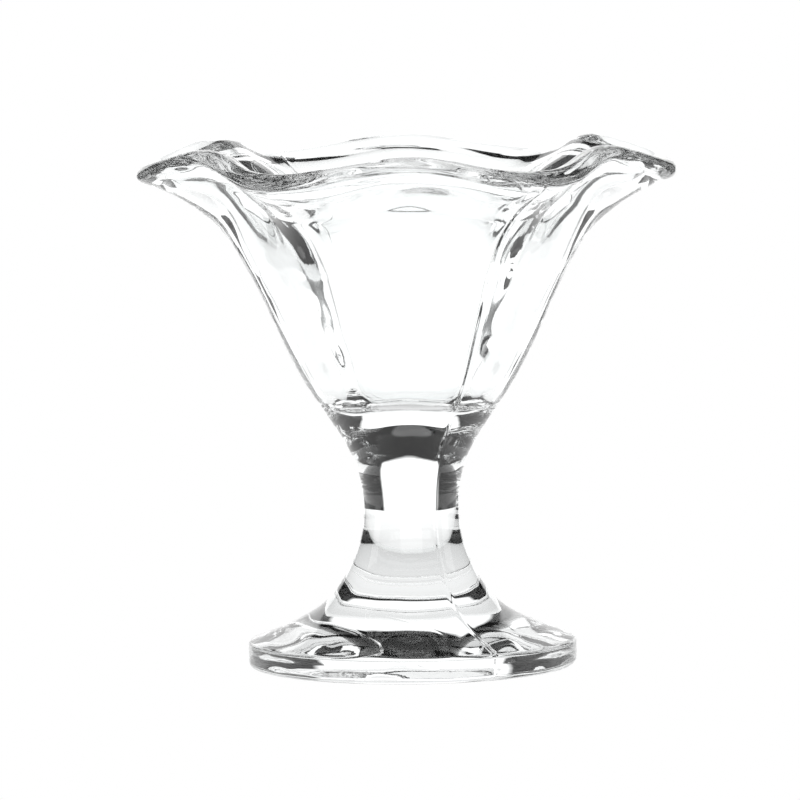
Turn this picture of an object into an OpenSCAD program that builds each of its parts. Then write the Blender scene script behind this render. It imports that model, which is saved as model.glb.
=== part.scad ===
// Footed parfait glass in clear pressed glass: a round foot with a shallow hollow under it,
// a solid waisted stem, a bowl that is panelled crisply inside and softly outside, and a flared rim
// whose thick lip rises to a crest over each panel and dips over each corner.
// Millimetres, +Z up, with the origin on the table under the middle of the foot.

/* [Foot] */
// Diameter of the foot
foot_d = 73.5; // [66:0.5:88]
// Height of the foot, from the table to where the stem begins
foot_h = 16.5; // [13.5:0.5:20]
// Diameter of the foot where the stem begins
neck_d = 35; // [29:0.5:41]
// Height of the edge
edge_h = 5; // [4:0.1:6]
// Rounding of the edge at the table
edge_r = 1.5; // [0.6:0.1:2]
// Width of the brow, which turns down to the edge
brow_w = 1.4; // [1:0.1:2]
// Height of the brow over the edge
brow_h = 1.2; // [0.9:0.1:1.6]
// Width of the flat ring on which the foot stands
ring_w = 4.95; // [3:0.05:12]
// Depth of the hollow inside that ring
hollow_h = 2.2; // [0.8:0.1:3.4]

/* [Stem] */
// Height of the stem
stem_h = 32.5; // [26:0.5:39]
// Height of the waist over the foot
waist_h = 18.8; // [15:0.1:23]
// Diameter of the waist
waist_d = 21.1; // [17:0.1:25]
// Diameter of the stem where the bowl begins
stem_top_d = 27.4; // [25:0.1:32]

/* [Bowl] */
// Number of panels round the bowl
panels = 6; // [5:1:8]
// Height of the bowl, from the stem to where the rim begins to flare
bowl_h = 41; // [33:0.5:49]
// Height of the shoulder over the stem
shoulder_h = 17; // [14:0.5:20]
// Width of the bowl at the shoulder, corner to corner
shoulder_w = 49.4; // [44:0.2:56]
// Width of the bowl where the rim begins to flare, corner to corner
flare_w = 72.4; // [66:0.2:84]
// Thickness of the solid glass between the stem and the bowl's floor
base_t = 10.5; // [8.5:0.5:12.5]
// Height of the round between the floor and the wall
floor_round_h = 12.5; // [10:0.5:15]
// Thickness of the wall
wall = 5; // [3.6:0.1:5.6]

/* [Rim] */
// Height of the rim, from the bowl to the crests
rim_h = 26.5; // [22:0.5:31]
// Width over the lip, corner to corner
rim_w = 120.6; // [112:0.2:140]
// Height of the crests over the dips
wave_h = 3.4; // [2:0.1:4.4]
// Height of the lip
lip_h = 5.1; // [4.2:0.1:6]
// Thickness of the lip, from its outer face to its inner edge
lip_t = 6.6; // [5.6:0.1:7.8]

/* [Hidden] */
glass = [0.84, 0.9, 0.9, 0.6];

// Sides of a full turn, and steps of a curve
turn_fn = 96;
curve_steps = 12;
edge_steps = 5;

// Steps of height up each face of the bowl and of the rim
bowl_steps = 10;
rim_steps = 7;

// Half a panel is stepped at these shares, from its corner to its middle
panel_shares = [0, 0.07, 0.16, 0.28, 0.43, 0.62, 0.81, 1];
last_share = len(panel_shares) - 1;
half_panel = 180 / panels;

// How crisp the corners are, on the bowl's outer face, on its inner face and on the lip
outer_crease = 6.4;
inner_crease = 19;
lip_crease = 6;

// The middle of a panel lies at this share of the radius of a corner, on the lip and on the bowl
lip_flat_share = cos(half_panel);
bowl_gain_share = 0.06;
bowl_flat_share = lip_flat_share + bowl_gain_share;

// Slopes of the outline, as radius gained over height gained
neck_slope = -0.8;
stem_top_slope = 0.5;
shoulder_slope = 0.56;
flare_slope = 0.55;
lip_under_slope = 2.4;
lip_inner_slope = 1.3;
brow_slope = -2.6;

// The lip's outer face bulges most at this share of its height
nose_share = 0.5;
// The lip's top lies at this share of its thickness, from the outer face
lip_top_share = 0.48;
// The lip's underside ends at this share of its thickness, from the outer face
lip_under_share = 0.56;
// The lip's inner edge lies at this share of its height
lip_edge_share = 0.8;
// The bowl's floor is flat over this share of its width
floor_flat_share = 0.55;

// Heights over the table
waist_z = foot_h + waist_h;
bowl_z = foot_h + stem_h;
shoulder_z = bowl_z + shoulder_h;
floor_z = bowl_z + base_t;
rim_z = bowl_z + bowl_h;
lip_top_z = rim_z + rim_h - wave_h;
lip_low_z = lip_top_z - lip_h;
rim_r = rim_w / 2;

// A smooth rise from 0 to 1 as x goes from a to b
function ease(a, b, x) =
    let (t = max(0, min(1, (x - a) / (b - a))))
    t * t * (3 - 2 * t);

function blend(a, b, share) = a + (b - a) * share;

// A direction in the outline's plane, from the radius gained over the height gained
function rising(slope) = [slope, 1] / norm([slope, 1]);

// Points along a smooth curve that leaves a in direction da and reaches b in direction db
function curve(a, da, b, db, steps) =
    let (pull = norm(b - a))
    [for (i = [0:steps])
        let (t = i / steps)
        (2 * t ^ 3 - 3 * t ^ 2 + 1) * a + (t ^ 3 - 2 * t ^ 2 + t) * pull * da
        + (3 * t ^ 2 - 2 * t ^ 3) * b + (t ^ 3 - t ^ 2) * pull * db];

// Radius at height z on the smooth curve between two knots, each [height, radius, slope]
function between(a, b, z) =
    let (h = b[0] - a[0], t = (z - a[0]) / h)
    (2 * t ^ 3 - 3 * t ^ 2 + 1) * a[1] + (t ^ 3 - 2 * t ^ 2 + t) * h * a[2]
    + (3 * t ^ 2 - 2 * t ^ 3) * b[1] + (t ^ 3 - t ^ 2) * h * b[2];

function without_first(list) = [for (i = [1:len(list) - 1]) list[i]];

// The outer face's knots, at a corner
neck = [foot_h, neck_d / 2, neck_slope];
waist = [waist_z, waist_d / 2, 0];
stem_top = [bowl_z, stem_top_d / 2, stem_top_slope];
shoulder = [shoulder_z, shoulder_w / 2, shoulder_slope];
flare = [rim_z, flare_w / 2, flare_slope];
lip_under = [lip_low_z, rim_r - lip_under_share * lip_t, lip_under_slope];

// Radius of the outer face at a corner, at height z
function corner_r(z) =
    z < waist_z ? between(neck, waist, z)
    : z < bowl_z ? between(waist, stem_top, z)
    : z < shoulder_z ? between(stem_top, shoulder, z)
    : z < rim_z ? between(shoulder, flare, z)
    : between(flare, lip_under, z);

// The stem is round, the panels are in full shape at the shoulder, and the lip begins at the flare
function panelling(z) = ease(bowl_z, shoulder_z, z);
function flaring(z) = ease(rim_z, lip_low_z, z);
function flat_share(z) = blend(bowl_flat_share, lip_flat_share, flaring(z));

// Radius of the outer face at the middle of a panel
function flat_r(z) = corner_r(z) * blend(1, flat_share(z), panelling(z));

// Thickness of the wall, measured level
slope_step = wall / 20;
function level_wall(z) = wall * norm([1, (flat_r(z) - flat_r(z - slope_step)) / slope_step]);

// Radius of the inner face at the middle of a panel and at a corner
function inner_flat_r(z) = flat_r(z) - level_wall(z);
function inner_corner_r(z) =
    let (bowl_corner = panelled(0, inner_crease), lip_corner = 1 / lip_flat_share)
    inner_flat_r(z) * blend(1, blend(bowl_corner, lip_corner, flaring(z)), panelling(z));

// Angles round the bowl, close together at the corners
panel_steps = 2 * last_share;
around = [
    for (i = [0:panels * panel_steps - 1])
        let (
            j = i % panel_steps,
            share = j <= last_share ? panel_shares[j] : 2 - panel_shares[panel_steps - j]
        )
        (2 * floor(i / panel_steps) + share) * half_panel
];

// Radius, over its smallest, of a polygon whose corners are rounded; a higher crease is crisper
function panelled(a, crease) =
    let (terms = [for (k = [0:panels - 1]) max(0, cos(a - (2 * k + 1) * half_panel)) ^ crease])
    (terms * [for (t = terms) 1]) ^ (-1 / crease);

// 1 at a corner and 0 at the middle of a panel
function cornering(a, crease) =
    let (low = panelled(half_panel, crease), high = panelled(0, crease))
    (panelled(a, crease) - low) / (high - low);

// A level on a face: its radius at a corner and at the middle of a panel, its height at a corner,
// and its crease
function outer_level(z) = [corner_r(z), flat_r(z), z, blend(outer_crease, lip_crease, flaring(z))];
function inner_level(z) =
    [inner_corner_r(z), inner_flat_r(z), z, blend(inner_crease, lip_crease, flaring(z))];
function lip_level(p) = [p[0], p[0] * lip_flat_share, p[1], lip_crease];

// The points of a level, round the bowl
function ring(level) = [
    for (a = around)
        let (
            r = blend(level[1], level[0], cornering(a, level[3])),
            lift = wave_h * flaring(level[2]) * (1 - cornering(a, lip_crease))
        )
        [r * cos(a), r * sin(a), level[2] + lift]
];

function levels_between(low, high, steps) = [for (i = [0:steps]) blend(low, high, i / steps)];

// The two triangles between two steps of angle, on rings a and b; the first half of a panel
// mirrors the second
function facets(a, b, i, n) =
    let (j = (i + 1) % n)
    i % panel_steps < last_share
        ? [[a + i, b + i, b + j], [a + i, b + j, a + j]]
        : [[a + i, b + i, a + j], [a + j, b + i, b + j]];

// A closed ring of glass: the rings run up the outer face, over the lip and down the inner face
module hoop(rings) {
    n = len(rings[0]);
    last = len(rings) - 1;
    polyhedron(
        points = [for (r = rings) each r],
        faces = [
            for (k = [0:last])
                for (i = [0:n - 1])
                    each facets(k * n, (k + 1) % (last + 1) * n, i, n)
        ]
    );
}

// A closed cup: the rings run from its underside up the outer face and down the inner face
module cup(rings) {
    n = len(rings[0]);
    last = len(rings) - 1;
    under = (last + 1) * n;
    floor_middle = under + 1;
    polyhedron(
        points = concat(
            [for (r = rings) each r],
            [[0, 0, rings[0][0][2]], [0, 0, rings[last][0][2]]]
        ),
        faces = concat(
            [
                for (k = [0:last - 1])
                    for (i = [0:n - 1])
                        each facets(k * n, (k + 1) * n, i, n)
            ],
            [for (i = [0:n - 1]) [under, i, (i + 1) % n]],
            [for (i = [0:n - 1]) [floor_middle, last * n + (i + 1) % n, last * n + i]]
        )
    );
}

module foot() {
    foot_r = foot_d / 2;
    brow = [foot_r - brow_w, edge_h + brow_h];
    hollow_r = foot_r - edge_r - ring_w;
    upper_face = concat(
        curve([neck_d / 2, foot_h], -rising(neck_slope), brow, -rising(brow_slope), curve_steps),
        without_first(curve(brow, -rising(brow_slope), [foot_r, edge_h], [0, -1], edge_steps))
    );
    lower_edge = [
        for (i = [0:edge_steps])
            let (a = -90 * i / edge_steps)
            [foot_r - edge_r * (1 - cos(a)), edge_r * (1 + sin(a))]
    ];
    hollow = [
        for (i = [0:curve_steps])
            let (share = 1 - i / curve_steps)
            [share * hollow_r, hollow_h * (1 - share ^ 2) ^ 2]
    ];
    color(glass)
        rotate_extrude($fn = turn_fn)
            polygon(concat([[0, foot_h]], upper_face, lower_edge, hollow));
}

module stem() {
    outline = [for (z = levels_between(foot_h, bowl_z, 2 * curve_steps)) [corner_r(z), z]];
    color(glass)
        rotate_extrude($fn = turn_fn)
            polygon(concat([[0, foot_h]], outline, [[0, bowl_z]]));
}

module bowl() {
    round_z = floor_z + floor_round_h;
    wall_foot = inner_level(round_z);
    floor_slope = (inner_flat_r(rim_z) - wall_foot[1]) / (rim_z - round_z);
    floor_curve = curve(
        [wall_foot[1], round_z], -rising(floor_slope),
        [floor_flat_share * wall_foot[1], floor_z], [-1, 0],
        edge_steps
    );
    floor_levels = [
        for (p = floor_curve)
            let (corner_gain = (wall_foot[0] / wall_foot[1] - 1) * p[0] / wall_foot[1])
            [p[0] * (1 + corner_gain), p[0], p[1], inner_crease]
    ];
    color(glass)
        cup([
            for (z = levels_between(bowl_z, rim_z, bowl_steps)) ring(outer_level(z)),
            for (z = levels_between(rim_z, round_z, bowl_steps)) ring(inner_level(z)),
            for (level = without_first(floor_levels)) ring(level)
        ]);
}

module rim() {
    under = [lip_under[1], lip_low_z];
    nose = [rim_r, blend(lip_low_z, lip_top_z, nose_share)];
    top = [rim_r - lip_top_share * lip_t, lip_top_z];
    inner_edge = [rim_r - lip_t, blend(lip_low_z, lip_top_z, lip_edge_share)];
    inner_join_z = blend(rim_z, lip_low_z, lip_edge_share);
    inner_join = [inner_corner_r(inner_join_z), inner_join_z];
    down_inside = -rising(lip_inner_slope);
    lip = concat(
        without_first(curve(under, rising(lip_under_slope), nose, [0, 1], edge_steps)),
        without_first(curve(nose, [0, 1], top, [-1, 0], edge_steps)),
        without_first(curve(top, [-1, 0], inner_edge, down_inside, edge_steps)),
        without_first(curve(inner_edge, down_inside, inner_join, down_inside, edge_steps))
    );
    color(glass)
        hoop([
            for (z = levels_between(rim_z, lip_low_z, rim_steps)) ring(outer_level(z)),
            for (p = lip) ring(lip_level(p)),
            for (z = without_first(levels_between(inner_join_z, rim_z, rim_steps))) ring(inner_level(z))
        ]);
}

foot();
stem();
bowl();
rim();
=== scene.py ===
import math

import bpy
import numpy as np
from bpy.props import FloatProperty, FloatVectorProperty, IntProperty, PointerProperty
from bpy.types import Operator, Panel, PropertyGroup
from mathutils import Matrix, Vector, noise


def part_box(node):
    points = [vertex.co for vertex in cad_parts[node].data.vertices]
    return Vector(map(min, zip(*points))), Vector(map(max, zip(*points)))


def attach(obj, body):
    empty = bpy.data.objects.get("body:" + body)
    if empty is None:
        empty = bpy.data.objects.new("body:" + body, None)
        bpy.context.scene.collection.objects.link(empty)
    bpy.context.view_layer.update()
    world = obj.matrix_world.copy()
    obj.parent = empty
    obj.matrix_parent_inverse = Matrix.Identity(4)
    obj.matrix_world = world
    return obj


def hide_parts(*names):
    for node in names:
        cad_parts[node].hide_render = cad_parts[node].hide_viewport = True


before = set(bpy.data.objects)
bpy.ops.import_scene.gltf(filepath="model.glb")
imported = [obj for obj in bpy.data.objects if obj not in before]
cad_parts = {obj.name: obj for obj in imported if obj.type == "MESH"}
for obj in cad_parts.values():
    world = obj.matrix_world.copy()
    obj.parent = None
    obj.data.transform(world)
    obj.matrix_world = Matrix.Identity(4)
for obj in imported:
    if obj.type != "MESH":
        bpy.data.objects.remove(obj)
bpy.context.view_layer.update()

bl_info = {
    "name": "Parfait glass",
    "version": (1, 0, 0),
    "blender": (4, 5, 0),
    "location": "3D View > Sidebar > Parfait glass",
    "description": "A footed parfait glass in clear pressed glass, on a bright photographic stage",
    "category": "Add Mesh",
}

# One millimetre, in the frame's metres
MM = 0.001

foot_low, foot_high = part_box("foot")
stem_low, stem_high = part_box("stem")
bowl_low, bowl_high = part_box("bowl")
rim_low, rim_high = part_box("rim")


def length(name, description, default, precision=3):
    return FloatProperty(
        name=name, description=description, default=default, min=0, unit="LENGTH",
        precision=precision,
    )


def share(name, description, default):
    return FloatProperty(
        name=name, description=description, default=default, min=0, subtype="FACTOR",
    )


def angle(name, description, degrees):
    return FloatProperty(
        name=name, description=description, default=math.radians(degrees), subtype="ANGLE",
    )


class FootSizes(PropertyGroup):
    """Sizes of the foot"""

    width: length("Width", "Diameter of the foot", foot_high.x - foot_low.x)
    neck: length("Neck", "Diameter of the foot where the stem begins", stem_high.x - stem_low.x)
    edge_height: length("Edge height", "Height of the upright edge", 5 * MM)
    edge_round: length("Edge rounding", "Rounding of the edge at the table", 1.5 * MM)
    brow_width: length("Brow width", "Width of the brow, which turns down to the edge", 1.4 * MM)
    brow_height: length("Brow height", "Height of the brow over the edge", 1.2 * MM)
    ring_width: length("Ring width", "Width of the flat ring on which the foot stands", 4.95 * MM)
    hollow: length("Hollow", "Depth of the hollow inside that ring", 1.0 * MM)


class StemSizes(PropertyGroup):
    """Sizes of the stem"""

    waist_height: length("Waist height", "Height of the waist over the foot", 18.8 * MM)
    waist_width: length("Waist width", "Diameter of the waist", 21.1 * MM)
    top_width: length("Top width", "Diameter of the stem where the bowl begins", 27.4 * MM)


class BowlSizes(PropertyGroup):
    """Sizes of the bowl"""

    panels: IntProperty(
        name="Panels", description="Number of panels round the bowl", default=6, min=3,
    )
    shoulder_height: length("Shoulder height", "Height of the shoulder over the stem", 17 * MM)
    shoulder_width: length("Shoulder width", "Width at the shoulder, corner to corner", 49.4 * MM)
    base: length("Base", "Solid glass between the stem and the bowl's floor", 10.5 * MM)
    floor_round: length("Floor rounding", "Height of the round between floor and wall", 12.5 * MM)
    wall: length("Wall", "Thickness of the wall", 5 * MM)


class RimSizes(PropertyGroup):
    """Sizes of the rim"""

    wave: length("Wave", "Height of the crests over the dips", 3.4 * MM)
    lip_height: length("Lip height", "Height of the lip", 5.1 * MM)
    out_of_true: length(
        "Out of true", "How much higher the crests stand at the sides than front and back",
        1.2 * MM,
    )
    lip_thickness: length(
        "Lip thickness", "From the lip's outer face to its inner edge", 6.6 * MM,
    )


class MouldMarks(PropertyGroup):
    """What the mould leaves on pressed glass"""

    seam_angle: angle("Seam angle", "Where the mould's first half begins, from the X axis", -60)
    seam_height: length("Seam height", "How far a seam stands proud", 0.16 * MM, precision=5)
    seam_width: length("Seam width", "Width of a seam", 0.45 * MM, precision=5)
    half_step: length(
        "Half step", "How far one half of the mould lies outside the other", 0.10 * MM, precision=5,
    )
    ripple: length(
        "Ripple", "Height of the waves that chilling leaves in the faces", 0.28 * MM, precision=5,
    )
    ripple_length: length("Ripple length", "Distance between those waves", 15 * MM)


class GlassLook(PropertyGroup):
    """Finish of the glass"""

    tint: FloatVectorProperty(
        name="Tint", description="Colour of the light that the glass lets through",
        default=(0.972, 0.985, 0.985), subtype="COLOR", min=0, max=1,
    )
    index: FloatProperty(
        name="Refraction", description="Refractive index of soda-lime glass", default=1.52,
    )
    smear: share("Smear", "Roughness of the most handled places", 0.012)
    orange_peel: length(
        "Orange peel", "Depth of the fine unevenness of a fire-polished face", 0.004 * MM,
        precision=6,
    )


class StageLook(PropertyGroup):
    """The floor, the backdrop, and the dark studio that the glass mirrors and bends"""

    background: share("Background", "Brightness of the backdrop", 1.0)
    table_radius: length("Table radius", "Radius of the tabletop that shows in the glass", 0.28)
    table_far: share(
        "Table edge", "Brightness of the tabletop far from the glass, before glare", 0.97,
    )
    # Painted shade: the tabletop glows greyer under the glass, where the glass's shadow would fall
    table_shaded_near: share(
        "Table middle", "Brightness of the tabletop under the glass, before glare", 0.50,
    )
    table_fade: length("Table fade", "Distance over which the tabletop brightens", 0.035)
    glare: FloatProperty(
        name="Glare", description="How much brighter the lights show in the glass than beside it",
        default=1.25, min=0,
    )
    studio_shade: share("Studio shade", "Brightness of the dark studio", 0.010)
    window: angle("Window", "Half the angle of bright backdrop behind and before the glass", 25)
    side_window: angle("Side window", "Half the angle of bright backdrop at either side", 10)
    window_top: angle("Window top", "How high the bright backdrop reaches", 31)
    overhead: angle("Overhead light", "Height above which the soft light overhead begins", 80)
    blur: angle("Blur", "Softness of the edges of the lights", 1.2)


class CameraPlace(PropertyGroup):
    """Where the camera stands"""

    distance: length("Distance", "From the glass's axis to the camera, level", 1.6)
    height: length("Height", "Height of the camera over the floor", 0.200)
    aim_height: length(
        "Aim height", "Height on the glass's axis at which the camera points", 0.0596,
    )
    aim_side: FloatProperty(
        name="Aim side", description="How far to the right of the glass's axis the camera points",
        default=-2.1 * MM, unit="LENGTH",
    )
    lens: FloatProperty(name="Lens", description="Focal length", default=323, unit="CAMERA")
    lean: angle("Lean", "How far the camera is tilted sideways", -0.7)


SETTINGS = {
    "parfait_foot": FootSizes,
    "parfait_stem": StemSizes,
    "parfait_bowl": BowlSizes,
    "parfait_rim": RimSizes,
    "parfait_mould": MouldMarks,
    "parfait_glass": GlassLook,
    "parfait_stage": StageLook,
    "parfait_camera": CameraPlace,
}


# Outlines

def blend(a, b, by):
    return a + (b - a) * by


def ease(a, b, x):
    """A smooth rise from 0 to 1 as x goes from a to b."""
    t = np.clip((x - a) / (b - a), 0, 1)
    return t * t * (3 - 2 * t)


def rising(slope):
    """A direction in the outline's plane, from the radius gained over the height gained."""
    return np.array((slope, 1)) / math.hypot(slope, 1)


def heights(a, b, steps):
    """Even steps of height after a, up to b."""
    return np.linspace(a, b, steps + 1)[1:]


def bend(a, da, b, db, t):
    """Where a smooth curve from a to b is at t, which goes from 0 to 1; da and db are its pulls."""
    return (
        (2 * t**3 - 3 * t**2 + 1) * a + (t**3 - 2 * t**2 + t) * da
        + (3 * t**2 - 2 * t**3) * b + (t**3 - t**2) * db
    )


def curve(a, da, b, db, steps):
    """Points after a, up to b, on a smooth curve that leaves in direction da and ends in db."""
    a, b = np.array(a), np.array(b)
    pull = np.linalg.norm(b - a)
    t = (np.arange(1, steps + 1) / steps)[:, None]
    return bend(a, pull * np.array(da), b, pull * np.array(db), t)


def through(knots, z):
    """Radius at the heights z on the smooth curve through knots, each (height, radius, slope)."""
    radius = np.zeros_like(z)
    for i, (a, b) in enumerate(zip(knots, knots[1:])):
        h = b[0] - a[0]
        r = bend(a[1], h * a[2], b[1], h * b[2], (z - a[0]) / h)
        here = z >= a[0] if i else np.full(z.shape, True)
        radius[here] = r[here]
    return radius


class Outline:
    """The glass's outline at a corner of the bowl, and at the middle of a panel."""

    # Slopes, as radius gained over height gained
    NECK_SLOPE, TOP_SLOPE, SHOULDER_SLOPE, FLARE_SLOPE = -0.8, 0.5, 0.56, 0.55
    UNDER_LIP_SLOPE, INNER_LIP_SLOPE, BROW_SLOPE = 2.4, 1.3, -2.6
    # Where the lip bulges most and where its inner edge lies, as shares of its height
    NOSE_SHARE, LIP_EDGE_SHARE = 0.5, 0.8
    # Where the lip's top lies and its underside ends, as shares of its thickness
    LIP_TOP_SHARE, LIP_UNDER_SHARE = 0.48, 0.56
    # The flat part of the bowl's floor, as a share of its width
    FLOOR_FLAT_SHARE = 0.55
    # How crisp the corners are, on the bowl's outer face, on its inner face and on the lip
    OUTER_CREASE, INNER_CREASE, LIP_CREASE = 6.4, 19, 6
    # How far the bowl's panels bulge, as a share of the radius
    BOWL_GAIN_SHARE = 0.06
    # Rows of points on each part of the outline
    HOLLOW_ROWS, EDGE_ROWS, BROW_ROWS, NECK_ROWS = 22, 8, 10, 18
    STEM_ROWS, BOWL_ROWS, FLARE_ROWS, LIP_ROWS = 32, 32, 18, 9
    INNER_FLARE_ROWS, WALL_ROWS, ROUND_ROWS = 15, 27, 10
    # Rows on the flat ring, the foot's edge and the bowl's floor, as shares of the way
    RING_SHARES, UPRIGHT_SHARES = (0.35, 0.7), (0.33, 0.67, 1)
    FLOOR_SHARES = (0.8, 0.55, 0.3, 0.1)
    # The innermost row under the foot, as a share of the hollow's radius
    INNERMOST_SHARE = 0.04
    # The step of height that shows the wall's slope, as a share of its thickness
    SLOPE_STEP_SHARE = 0.05

    def __init__(self, scene):
        self.foot, self.stem = scene.parfait_foot, scene.parfait_stem
        self.bowl, self.rim = scene.parfait_bowl, scene.parfait_rim
        self.half_panel = math.pi / self.bowl.panels
        self.lip_flat = math.cos(self.half_panel)
        self.shoulder_z = bowl_low.z + self.bowl.shoulder_height
        self.floor_z = bowl_low.z + self.bowl.base
        self.lip_top_z = rim_high.z - self.rim.wave
        self.lip_low_z = self.lip_top_z - self.rim.lip_height
        self.rim_r = (rim_high.x - rim_low.x) / 2
        under_r = self.rim_r - self.LIP_UNDER_SHARE * self.rim.lip_thickness
        self.knots = (
            (foot_high.z, self.foot.neck / 2, self.NECK_SLOPE),
            (foot_high.z + self.stem.waist_height, self.stem.waist_width / 2, 0),
            (bowl_low.z, self.stem.top_width / 2, self.TOP_SLOPE),
            (self.shoulder_z, self.bowl.shoulder_width / 2, self.SHOULDER_SLOPE),
            (rim_low.z, (bowl_high.x - bowl_low.x) / 2, self.FLARE_SLOPE),
            (self.lip_low_z, under_r, self.UNDER_LIP_SLOPE),
        )

    def panelling(self, z):
        return ease(bowl_low.z, self.shoulder_z, z)

    def flaring(self, z):
        return ease(rim_low.z, self.lip_low_z, z)

    def corner_r(self, z):
        return through(self.knots, z)

    def flat_r(self, z):
        flat = blend(self.lip_flat + self.BOWL_GAIN_SHARE, self.lip_flat, self.flaring(z))
        return self.corner_r(z) * blend(1, flat, self.panelling(z))

    def inner_flat_r(self, z):
        step = self.bowl.wall * self.SLOPE_STEP_SHARE
        slope = (self.flat_r(z) - self.flat_r(z - step)) / step
        return self.flat_r(z) - self.bowl.wall * np.hypot(1, slope)

    def inner_corner_r(self, z):
        bowl_corner = self.panelled(0, self.INNER_CREASE)
        corner = blend(bowl_corner, 1 / self.lip_flat, self.flaring(z))
        return self.inner_flat_r(z) * blend(1, corner, self.panelling(z))

    def panelled(self, angle, crease):
        """Radius, over its smallest, of a rounded polygon; a higher crease is crisper."""
        terms = sum(
            np.maximum(0, np.cos(angle - (2 * k + 1) * self.half_panel)) ** crease
            for k in range(self.bowl.panels)
        )
        return terms ** (-1 / crease)

    def cornering(self, angle, crease):
        """1 at a corner and 0 at the middle of a panel."""
        low, high = self.panelled(self.half_panel, crease), self.panelled(0, crease)
        return (self.panelled(angle, crease) - low) / (high - low)

    def round_rows(self, points):
        """Rows of the foot and the stem: radius at a corner, at a panel, height, crease."""
        radius, z = np.array(points).T
        return np.column_stack((radius, radius, z, np.full(len(z), self.LIP_CREASE)))

    def outer_rows(self, z):
        crease = blend(self.OUTER_CREASE, self.LIP_CREASE, self.flaring(z))
        return np.column_stack((self.corner_r(z), self.flat_r(z), z, crease))

    def inner_rows(self, z):
        crease = blend(self.INNER_CREASE, self.LIP_CREASE, self.flaring(z))
        return np.column_stack((self.inner_corner_r(z), self.inner_flat_r(z), z, crease))

    def lip_rows(self, points):
        radius, z = points.T
        crease = np.full(len(z), self.LIP_CREASE)
        return np.column_stack((radius, radius * self.lip_flat, z, crease))

    def foot_rows(self):
        foot_r, neck_r = self.foot.width / 2, self.foot.neck / 2
        hollow_r = foot_r - self.foot.edge_round - self.foot.ring_width
        edge_round = self.foot.edge_round
        hollow = [
            (s * hollow_r, self.foot.hollow * (1 - s**2) ** 2)
            for s in np.linspace(self.INNERMOST_SHARE, 1, self.HOLLOW_ROWS)
        ]
        ring = [(blend(hollow_r, foot_r - edge_round, s), 0) for s in self.RING_SHARES]
        edge = [
            (foot_r - edge_round * (1 - math.sin(a)), edge_round * (1 - math.cos(a)))
            for a in np.linspace(0, math.pi / 2, self.EDGE_ROWS)
        ]
        upright = [
            (foot_r, blend(edge_round, self.foot.edge_height, s))
            for s in self.UPRIGHT_SHARES
        ]
        brow = (foot_r - self.foot.brow_width, self.foot.edge_height + self.foot.brow_height)
        brow_way = rising(self.BROW_SLOPE)
        neck = (neck_r, foot_high.z)
        up_brow = curve(upright[-1], (0, 1), brow, brow_way, self.BROW_ROWS)
        up_neck = curve(brow, brow_way, neck, rising(self.NECK_SLOPE), self.NECK_ROWS)
        return self.round_rows([*hollow, *ring, *edge, *upright, *up_brow, *up_neck])

    def stem_rows(self):
        z = heights(stem_low.z, stem_high.z, self.STEM_ROWS)
        return self.round_rows(np.column_stack((self.corner_r(z), z)))

    def bowl_rows(self):
        return self.outer_rows(heights(bowl_low.z, bowl_high.z, self.BOWL_ROWS))

    def rim_rows(self):
        lip_low, lip_top = self.lip_low_z, self.lip_top_z
        under = (self.knots[-1][1], lip_low)
        nose = (self.rim_r, blend(lip_low, lip_top, self.NOSE_SHARE))
        top = (self.rim_r - self.LIP_TOP_SHARE * self.rim.lip_thickness, lip_top)
        edge_z = blend(lip_low, lip_top, self.LIP_EDGE_SHARE)
        edge = (self.rim_r - self.rim.lip_thickness, edge_z)
        join_z = np.array([blend(rim_low.z, lip_low, self.LIP_EDGE_SHARE)])
        join = (self.inner_corner_r(join_z)[0], join_z[0])
        down = -rising(self.INNER_LIP_SLOPE)
        lip = np.concatenate((
            curve(under, rising(self.UNDER_LIP_SLOPE), nose, (0, 1), self.LIP_ROWS),
            curve(nose, (0, 1), top, (-1, 0), self.LIP_ROWS),
            curve(top, (-1, 0), edge, down, self.LIP_ROWS),
            curve(edge, down, join, down, self.LIP_ROWS),
        ))
        return (
            self.outer_rows(heights(rim_low.z, lip_low, self.FLARE_ROWS)),
            self.lip_rows(lip),
            self.inner_rows(heights(join_z[0], rim_low.z, self.INNER_FLARE_ROWS)),
        )

    def inside_rows(self):
        round_z = self.floor_z + self.bowl.floor_round
        wall = self.inner_rows(heights(bowl_high.z, round_z, self.WALL_ROWS))
        foot_corner, foot_flat = wall[-1][:2]
        top_flat = self.inner_flat_r(np.array([rim_low.z]))[0]
        slope = (top_flat - foot_flat) / (rim_low.z - round_z)
        radius, z = curve(
            (foot_flat, round_z), -rising(slope),
            (self.FLOOR_FLAT_SHARE * foot_flat, self.floor_z), (-1, 0), self.ROUND_ROWS,
        ).T
        gain = (foot_corner / foot_flat - 1) * radius / foot_flat
        crease = np.full(len(z), self.INNER_CREASE)
        turn = np.column_stack((radius * (1 + gain), radius, z, crease))
        floor = [turn[-1] * (s, s, 1, 1) for s in self.FLOOR_SHARES]
        return wall, turn, np.array(floor)


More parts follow.
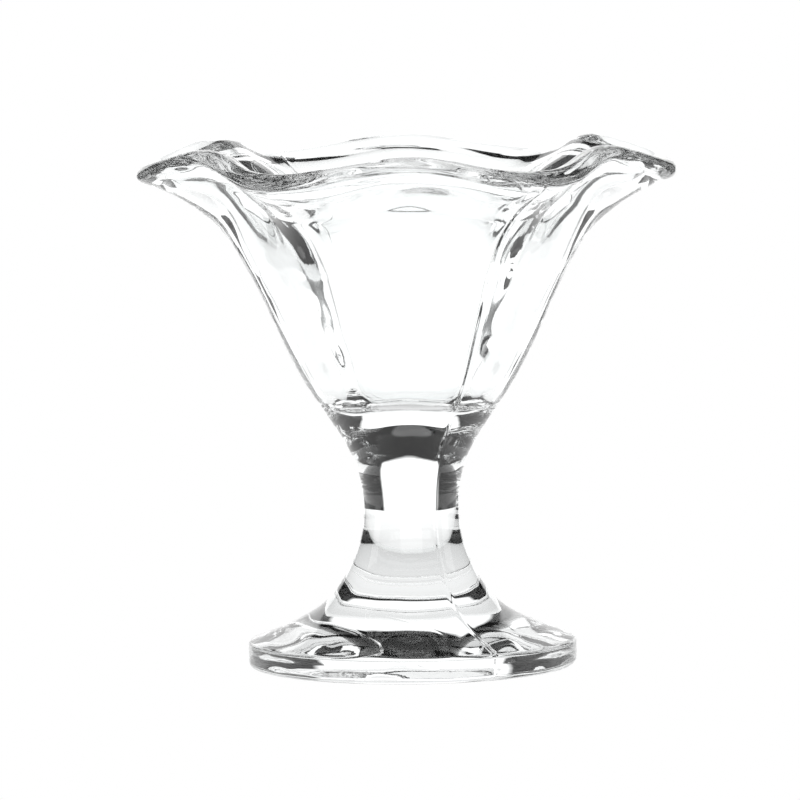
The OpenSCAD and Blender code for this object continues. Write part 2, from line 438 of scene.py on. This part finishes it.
class GlassMesh:
    """Points of the whole glass: rows up its outside and down its inside, and columns round it."""

    COLUMNS_PER_HALF_PANEL = 20
    CORNER_CROWDING = 1.2
    # Columns at each side of a seam
    SEAM_DEGREES = (0.1, 0.22, 0.36, 0.54, 0.76, 1.05, 1.4, 1.85, 2.4, 3.1)
    # Columns whose angles are the same to this many decimals are one
    ANGLE_DIGITS = 5
    # The mould's marks are missing up to the first height, and whole from the second
    PLAIN_TO, MARKED_FROM = 0.5 * MM, 2 * MM
    # The ripples are longer up the glass, and finer ones lie on them
    UP_SCALE, FINE_SCALE, FINE_UP_SCALE, FINE_SHARE = 0.7, 2.3, 1.7, 0.4
    # How far apart the two faces' ripples are drawn, in ripple lengths, so that they differ
    FACES_APART = 7
    SHARP_DEGREES = 40
    # Shortest length that a direction is divided by
    TINY = 1e-12

    def __init__(self, scene):
        self.outline = Outline(scene)
        self.marks = scene.parfait_mould
        rim_outer, lip, rim_inner = self.outline.rim_rows()
        outside = np.concatenate((
            self.outline.foot_rows(), self.outline.stem_rows(), self.outline.bowl_rows(),
            rim_outer,
        ))
        inside = np.concatenate((rim_inner, *self.outline.inside_rows()))
        self.rows = np.concatenate((outside, lip, inside))
        # 1 on the outside, which the mould shapes, and 0 on the inside, which the plunger shapes
        self.moulded = np.concatenate((
            np.ones(len(outside)), np.linspace(1, 0, len(lip)), np.zeros(len(inside)),
        ))
        self.angles = self.columns()

    def columns(self):
        half = self.outline.half_panel
        count = self.COLUMNS_PER_HALF_PANEL
        steps = half * (np.arange(count) / count) ** self.CORNER_CROWDING
        corner = np.concatenate((steps, -steps[1:], [half]))
        corners = np.arange(self.outline.bowl.panels) * 2 * half
        everywhere = (corners[:, None] + corner).ravel()
        beside = np.radians(self.SEAM_DEGREES)
        seams = self.marks.seam_angle + np.array((0, math.pi))
        crowded = (seams[:, None] + np.concatenate((-beside, [0], beside))).ravel()
        angles = np.mod(np.concatenate((everywhere, crowded)), 2 * math.pi)
        return np.unique(np.round(angles, self.ANGLE_DIGITS))

    def plain(self):
        """The grid of points before the mould's marks."""
        corner, flat, z, crease = (self.rows[:, i:i + 1] for i in range(4))
        a = self.angles[None, :]
        r = flat + (corner - flat) * self.outline.cornering(a, crease)
        rim = self.outline.rim
        lift = (rim.wave + rim.out_of_true * np.cos(a) ** 2) * self.outline.flaring(z)
        lift = lift * (1 - self.outline.cornering(a, self.outline.LIP_CREASE))
        return np.stack((r * np.cos(a), r * np.sin(a), z + lift), axis=-1)

    @staticmethod
    def normals(points):
        """Outward directions, from each point's neighbours."""
        around = np.roll(points, -1, axis=1) - np.roll(points, 1, axis=1)
        along = np.gradient(points, axis=0)
        n = np.cross(around, along)
        return n / np.maximum(np.linalg.norm(n, axis=-1, keepdims=True), GlassMesh.TINY)

    def wave(self, x, y, z, apart):
        """Height of the ripples at a place measured in ripple lengths, over their usual height."""
        fine = (self.FINE_SCALE * x, self.FINE_SCALE * y + apart, self.FINE_UP_SCALE * z)
        broad = (x + apart, y, self.UP_SCALE * z)
        return noise.noise(Vector(broad)) + self.FINE_SHARE * noise.noise(Vector(fine))

    def ripples(self, points):
        places = points.reshape(-1, 3) / self.marks.ripple_length
        apart = np.repeat(blend(self.FACES_APART, 0, self.moulded), len(self.angles))
        waves = [self.wave(*place, offset) for place, offset in zip(places, apart)]
        return np.array(waves).reshape(points.shape[:2])

    def marked(self):
        """The grid of points with the seams, the step between the halves, and the ripples."""
        points = self.plain()
        marks = self.marks
        turn = np.mod(self.angles - marks.seam_angle + math.pi, 2 * math.pi) - math.pi
        radius = np.hypot(points[..., 0], points[..., 1])
        near = np.minimum(np.abs(turn), math.pi - np.abs(turn))
        seam = np.exp(-(radius * near / marks.seam_width) ** 2)
        half = 0.5 + 0.5 * np.tanh(radius * np.sin(turn) / marks.seam_width)
        rise = (marks.seam_height * seam + marks.half_step * half) * self.moulded[:, None]
        rise = rise + marks.ripple * self.ripples(points)
        rise = rise * ease(self.PLAIN_TO, self.MARKED_FROM, points[..., 2])
        return points + self.normals(points) * rise[..., None]

    def build(self):
        """The closed mesh, with a point in the middle of the underside and of the floor."""
        points = self.marked()
        rows, columns = points.shape[:2]
        vertices = points.reshape(-1, 3).tolist()
        vertices += [[0, 0, self.outline.foot.hollow], [0, 0, self.outline.floor_z]]
        under, floor = rows * columns, rows * columns + 1
        faces = []
        for i in range(columns):
            j = (i + 1) % columns
            faces.append((under, j, i))
            faces.append((floor, (rows - 1) * columns + i, (rows - 1) * columns + j))
            faces += [
                (k * columns + i, k * columns + j, (k + 1) * columns + j, (k + 1) * columns + i)
                for k in range(rows - 1)
            ]
        mesh = bpy.data.meshes.new("parfait_glass")
        mesh.from_pydata(vertices, [], faces)
        mesh.validate()
        mesh.shade_smooth()
        mesh.set_sharp_from_angle(angle=math.radians(self.SHARP_DEGREES))
        return mesh


# Materials

class Val:
    """A value socket, so that shader maths reads as an expression."""

    def __init__(self, paint, socket):
        self.paint, self.socket = paint, socket

    def maths(self, operation, *others):
        """A Math node on this value and the others."""
        return self.paint.maths(operation, self, *others)

    def __add__(self, other):
        return self.maths("ADD", other)

    def __sub__(self, other):
        return self.maths("SUBTRACT", other)

    def __rsub__(self, other):
        return self.paint.maths("SUBTRACT", other, self)

    def __mul__(self, other):
        return self.maths("MULTIPLY", other)

    def __truediv__(self, other):
        return self.maths("DIVIDE", other)

    def __rtruediv__(self, other):
        return self.paint.maths("DIVIDE", other, self)

    def clamped(self, low, high):
        """0 below low and 1 above high, with a straight rise between."""
        return ((self - low) / (high - low)).maths("MAXIMUM", 0).maths("MINIMUM", 1)

    __radd__ = __add__
    __rmul__ = __mul__


class Paint:
    """A node tree that is being written."""

    def __init__(self, tree):
        self.tree = tree
        tree.nodes.clear()

    def node(self, kind, settings=None, inputs=None):
        """A node of that type, its settings set first, then its sockets' values or links."""
        made = self.tree.nodes.new(kind)
        for name, value in (settings or {}).items():
            setattr(made, name, value)
        for name, value in (inputs or {}).items():
            source = value.socket if isinstance(value, Val) else value
            if isinstance(source, bpy.types.NodeSocket):
                self.tree.links.new(source, made.inputs[name])
            else:
                made.inputs[name].default_value = source
        return made

    def maths(self, operation, *values):
        """A Math node on the values."""
        inputs = dict(enumerate(values))
        return self.value("ShaderNodeMath", 0, {"operation": operation}, inputs)

    def value(self, kind, output, settings=None, inputs=None):
        """One output of a new node, for maths."""
        return Val(self, self.node(kind, settings, inputs).outputs[output])

    def place(self):
        """Where a point of the piece is, in the frame."""
        return self.node("ShaderNodeTexCoord").outputs["Object"]

    def finish(self, shader, kind="ShaderNodeOutputMaterial"):
        self.node(kind, None, {"Surface": shader.outputs[0]})


def new_material(name):
    material = bpy.data.materials.new(name)
    material.use_nodes = True
    return material, Paint(material.node_tree)


# Spots of the noise over a metre, for the fine unevenness and for the smears
PEEL_SCALE, SMEAR_SCALE = 420, 60
# The noise at which a smear begins, and at which it is whole
SMEAR_FROM, SMEAR_TO = 0.58, 0.72


def clear_glass(look):
    """Clear pressed glass: fire-polished, with a fine unevenness and faint smears."""
    material, paint = new_material("clear_glass")

    def spots(scale, detail):
        inputs = {"Vector": paint.place(), "Scale": scale, "Detail": detail}
        return paint.value("ShaderNodeTexNoise", "Fac", None, inputs)

    bump = paint.node("ShaderNodeBump", None, {
        "Strength": 1, "Distance": look.orange_peel, "Height": spots(PEEL_SCALE, 2),
    })
    glass = paint.node("ShaderNodeBsdfPrincipled", None, {
        "Base Color": (*look.tint, 1),
        "Roughness": spots(SMEAR_SCALE, 4).clamped(SMEAR_FROM, SMEAR_TO) * look.smear,
        "IOR": look.index,
        "Transmission Weight": 1,
        "Normal": bump.outputs[0],
    })
    paint.finish(glass)
    return material


def grey(shade):
    return (shade, shade, shade, 1)


def glowing(name, shade):
    """A material that only glows, in the grey that shade writes."""
    material, paint = new_material(name)
    glow = paint.node("ShaderNodeEmission", None, {"Color": shade(paint), "Strength": 1})
    paint.finish(glow)
    return material


def pale_floor(look):
    """The floor that the camera sees."""
    return glowing("pale_floor", lambda paint: grey(look.background))


def tabletop(look):
    """The part of the floor that shows in the glass: a glowing stand-in for a lit tabletop, with
    painted shade greying it close under the glass.
    """
    def shade(paint):
        place = {0: paint.place()}
        away = paint.value("ShaderNodeVectorMath", "Value", {"operation": "LENGTH"}, place)
        near, far = look.table_shaded_near * look.glare, look.table_far * look.glare
        # Painted shade: the glow is greyest under the glass and brightens outwards over the fade
        # distance
        return near + (far - near) * (away / (away + look.table_fade))

    return glowing("tabletop", shade)


def studio(look):
    """The dark studio with its bright backdrops and the soft light overhead."""
    def shade(paint):
        """Brightness by direction: a backdrop on all four sides, and the light at the top."""
        way = paint.node("ShaderNodeVectorMath", {"operation": "NORMALIZE"}, {0: paint.place()})
        split = paint.node("ShaderNodeSeparateXYZ", None, {0: way.outputs[0]})
        x, y, z = (Val(paint, split.outputs[i]) for i in range(3))
        turn = x.maths("ABSOLUTE").maths("ARCTAN2", y.maths("ABSOLUTE"))
        up = z.maths("ARCSINE")

        def within(angle, limit):
            return 1 - angle.clamped(limit - look.blur, limit + look.blur)

        behind = within(turn, look.window)
        beside = within(math.pi / 2 - turn, look.side_window)
        low = within(up, look.window_top)
        above = 1 - within(up, look.overhead)
        light = behind.maths("MAXIMUM", beside) * low
        light = light.maths("MAXIMUM", above)
        return look.studio_shade + (look.glare - look.studio_shade) * light

    return glowing("studio", shade)


# Operators

class PARFAIT_OT_glass(Operator):
    """Make the parfait glass: foot, stem, bowl and rim in one pressed piece"""

    bl_idname = "parfait.glass"
    bl_label = "Parfait glass"

    def execute(self, context):
        scene = context.scene
        glass = bpy.data.objects.new("parfait_glass", GlassMesh(scene).build())
        scene.collection.objects.link(glass)
        glass.data.materials.append(clear_glass(scene.parfait_glass))
        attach(glass, "root")
        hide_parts("foot", "stem", "bowl", "rim")
        return {"FINISHED"}


class PARFAIT_OT_stage(Operator):
    """Make the pale floor, the white backdrop, and the dark studio that draws the glass's edges"""

    bl_idname = "parfait.stage"
    bl_label = "Stage"

    FLOOR_RADIUS = 2.4
    # How far the floor and the tabletop lie under the glass, so that no faces coincide
    FLOOR_SINK, TABLE_SINK = 0.2 * MM, 0.1 * MM
    DISC_SIDES = 128
    DOME_ROWS, DOME_COLUMNS = 48, 96
    # A path of light through the glass meets up to so many faces
    BOUNCES, MIRRORINGS = 40, 20

    def sheet(self, context, name, points, faces, material, in_glass):
        """A piece of the stage, which shows either in the glass or beside it."""
        mesh = bpy.data.meshes.new(name)
        mesh.from_pydata(points, [], faces)
        mesh.materials.append(material)
        made = bpy.data.objects.new(name, mesh)
        made.visible_camera = not in_glass
        made.visible_transmission = made.visible_glossy = made.visible_diffuse = in_glass
        context.scene.collection.objects.link(made)

    def disc(self, context, name, radius, sink, material, in_glass):
        turns = [2 * math.pi * i / self.DISC_SIDES for i in range(self.DISC_SIDES)]
        edge = [(radius * math.cos(a), radius * math.sin(a), -sink) for a in turns]
        self.sheet(context, name, edge, [tuple(range(self.DISC_SIDES))], material, in_glass)

    def dome(self, context, material):
        """A ball round the glass, on which the lights are drawn."""
        rows, columns = self.DOME_ROWS, self.DOME_COLUMNS
        points = [
            (
                self.FLOOR_RADIUS * math.sin(down) * math.sin(turn),
                self.FLOOR_RADIUS * math.sin(down) * math.cos(turn),
                self.FLOOR_RADIUS * math.cos(down),
            )
            for down in (math.pi * i / rows for i in range(1, rows))
            for turn in (2 * math.pi * j / columns for j in range(columns))
        ]
        points += [(0, 0, self.FLOOR_RADIUS), (0, 0, -self.FLOOR_RADIUS)]
        faces = [
            (i * columns + j, i * columns + k, (i + 1) * columns + k, (i + 1) * columns + j)
            for i in range(rows - 2) for j, k in ((j, (j + 1) % columns) for j in range(columns))
        ]
        last = (rows - 2) * columns
        for j in range(columns):
            k = (j + 1) % columns
            faces += [(j, k, len(points) - 2), (last + j, last + k, len(points) - 1)]
        self.sheet(context, "studio", points, faces, material, in_glass=True)

    def execute(self, context):
        look = context.scene.parfait_stage
        floor, table = pale_floor(look), tabletop(look)
        self.disc(context, "pale_floor", self.FLOOR_RADIUS, self.FLOOR_SINK, floor, in_glass=False)
        self.disc(context, "tabletop", look.table_radius, self.TABLE_SINK, table, in_glass=True)
        self.dome(context, studio(look))
        world = bpy.data.worlds.new("white_backdrop")
        world.use_nodes = True
        paint = Paint(world.node_tree)
        backdrop = paint.node("ShaderNodeBackground", None, {
            "Color": grey(look.background), "Strength": 1,
        })
        paint.finish(backdrop, "ShaderNodeOutputWorld")
        context.scene.world = world
        context.scene.view_settings.view_transform = "Standard"
        context.scene.cycles.max_bounces = self.BOUNCES
        context.scene.cycles.transmission_bounces = self.BOUNCES
        context.scene.cycles.glossy_bounces = self.MIRRORINGS
        context.scene.cycles.use_denoising = True
        return {"FINISHED"}


class PARFAIT_OT_camera(Operator):
    """Place the camera at the photograph's viewing angle"""

    bl_idname = "parfait.camera"
    bl_label = "Camera"

    SENSOR_WIDTH = 36

    def execute(self, context):
        place = context.scene.parfait_camera
        camera = bpy.data.objects.new("camera", bpy.data.cameras.new("camera"))
        camera.data.sensor_width = self.SENSOR_WIDTH
        camera.data.lens = place.lens
        stand = Vector((0, -place.distance, place.height))
        aim = Vector((place.aim_side, 0, place.aim_height)) - stand
        upright = aim.to_track_quat("-Z", "Y").to_matrix().to_4x4()
        lean = Matrix.Rotation(place.lean, 4, "Z")
        camera.matrix_world = Matrix.Translation(stand) @ upright @ lean
        context.scene.collection.objects.link(camera)
        context.scene.camera = camera
        return {"FINISHED"}


class PARFAIT_PT_sidebar(Panel):
    """Sizes, finish, stage and camera of the parfait glass"""

    bl_idname = "PARFAIT_PT_sidebar"
    bl_label = "Parfait glass"
    bl_space_type = "VIEW_3D"
    bl_region_type = "UI"
    bl_category = "Parfait glass"

    def draw(self, context):
        for name in SETTINGS:
            box = self.layout.box()
            group = getattr(context.scene, name)
            for prop in group.bl_rna.properties:
                if prop.identifier not in {"rna_type", "name"}:
                    box.prop(group, prop.identifier)
        for operator in OPERATORS:
            self.layout.operator(operator.bl_idname)


OPERATORS = (PARFAIT_OT_glass, PARFAIT_OT_stage, PARFAIT_OT_camera)
CLASSES = (*SETTINGS.values(), *OPERATORS, PARFAIT_PT_sidebar)


def register():
    for cls in CLASSES:
        bpy.utils.register_class(cls)
    for name, cls in SETTINGS.items():
        setattr(bpy.types.Scene, name, PointerProperty(type=cls))


def unregister():
    for name in SETTINGS:
        delattr(bpy.types.Scene, name)
    for cls in reversed(CLASSES):
        bpy.utils.unregister_class(cls)


def main():
    register()
    bpy.ops.parfait.glass()
    bpy.ops.parfait.stage()
    bpy.ops.parfait.camera()


if __name__ == "__main__":
    main()
